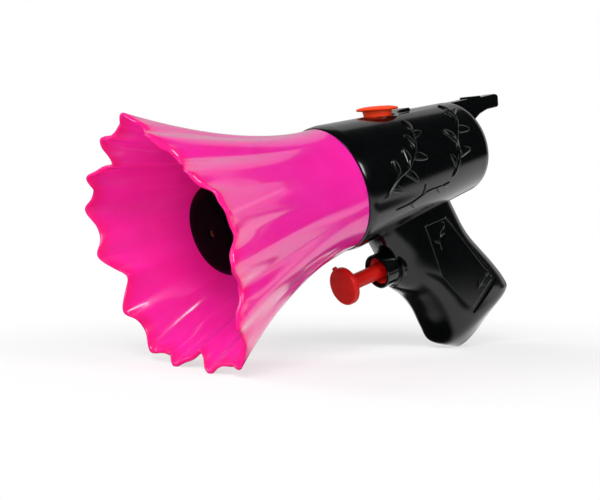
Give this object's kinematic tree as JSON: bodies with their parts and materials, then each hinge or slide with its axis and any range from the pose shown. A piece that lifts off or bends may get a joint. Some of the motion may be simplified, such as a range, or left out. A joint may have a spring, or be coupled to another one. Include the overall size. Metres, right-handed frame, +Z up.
{
  "type": "water squirter",
  "caption": "Small trigger-pump water squirter in the form of a flared pistol: petal-rimmed bell, black two-half tank body, push plunger and filler plug.",
  "frame": {"origin": "middle of the bounding box on the table it rests on", "axes": "+Z up; muzzle towards -X; the pictured left side towards -Y"},
  "size_m": [0.151, 0.079, 0.0886],
  "materials": {
    "black_body": "glossy moulded",
    "pink_bell": "glossy moulded",
    "red_plastic": "satin moulded",
    "orange_plug": "soft satin",
    "natural_plastic": "natural moulded",
    "hose": "milky soft",
    "seal_rubber": "matte",
    "spring_steel": "bright"
  },
  "bodies": {
    "body": {"body_left": "black_body", "body_right": "black_body", "bell": "pink_bell", "muzzle_nose": "black_body", "nozzle": "red_plastic", "delivery_hose": "hose", "suction_hose": "hose", "pump_cylinder": "natural_plastic", "pump_end_cap": "natural_plastic", "gland_bush": "red_plastic", "outlet_cap": "natural_plastic", "inlet_seat": "natural_plastic", "return_spring": "spring_steel", "outlet_spring": "spring_steel"},
    "plunger": {"plunger": "red_plastic", "piston_seal": "seal_rubber"},
    "filler_plug": {"filler_plug": "orange_plug"},
    "outlet_ball": {"outlet_ball": "spring_steel"},
    "inlet_ball": {"inlet_ball": "spring_steel"}
  },
  "joints": [
    {"name": "plunger_slide", "type": "slide", "parent": "body", "child": "plunger", "axis": [0.9551, 0, 0.2962], "range_m": [0, 0.01], "stiffness_N_per_m": 350, "springref_m": -0.004, "deforming": ["return_spring"]},
    {"name": "filler_plug_pull", "type": "slide", "parent": "body", "child": "filler_plug", "axis": [-0.1086, 0, 0.9941], "range_m": [0, 0.012]},
    {"name": "outlet_ball_lift", "type": "slide", "parent": "body", "child": "outlet_ball", "axis": [-0.2962, 0, 0.9551], "range_m": [0, 0.001], "stiffness_N_per_m": 40, "springref_m": -0.001, "deforming": ["outlet_spring"]},
    {"name": "inlet_ball_lift", "type": "slide", "parent": "body", "child": "inlet_ball", "axis": [-0.2962, 0, 0.9551], "range_m": [0, 0.0009]}
  ]
}
